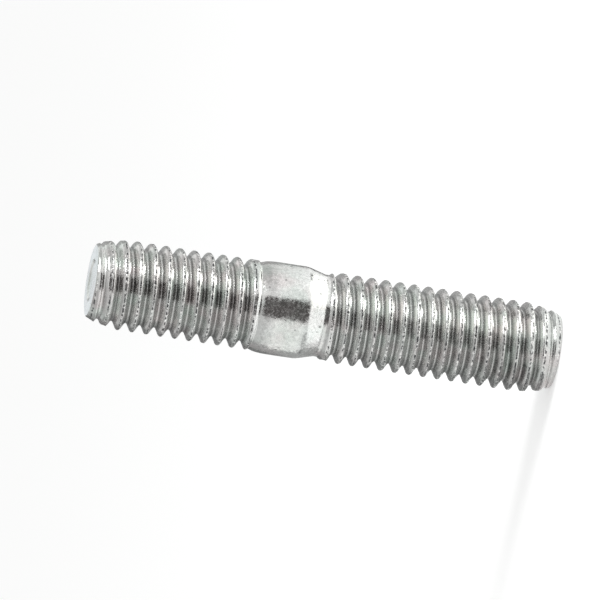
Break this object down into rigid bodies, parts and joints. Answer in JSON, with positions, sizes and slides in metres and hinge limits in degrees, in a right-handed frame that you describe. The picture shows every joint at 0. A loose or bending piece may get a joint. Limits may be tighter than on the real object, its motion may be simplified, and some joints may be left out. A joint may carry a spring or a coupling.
{
  "type": "double ended stud",
  "caption": "Straight metal stud with a coarse right-hand thread at each end, one longer than the other, and a thicker plain shank between them.",
  "frame": {"origin": "centre of the nut end's face, on which the stud stands", "axes": "+Z along the stud's axis from the long nut end to the short metal end; +X is where the places of both threads are counted from"},
  "size_m": [0.008, 0.008, 0.0408],
  "materials": {
    "zinc_plated_steel": "bright zinc plating, semi-gloss"
  },
  "bodies": {
    "root": {"stud": "zinc_plated_steel"}
  },
  "joints": []
}
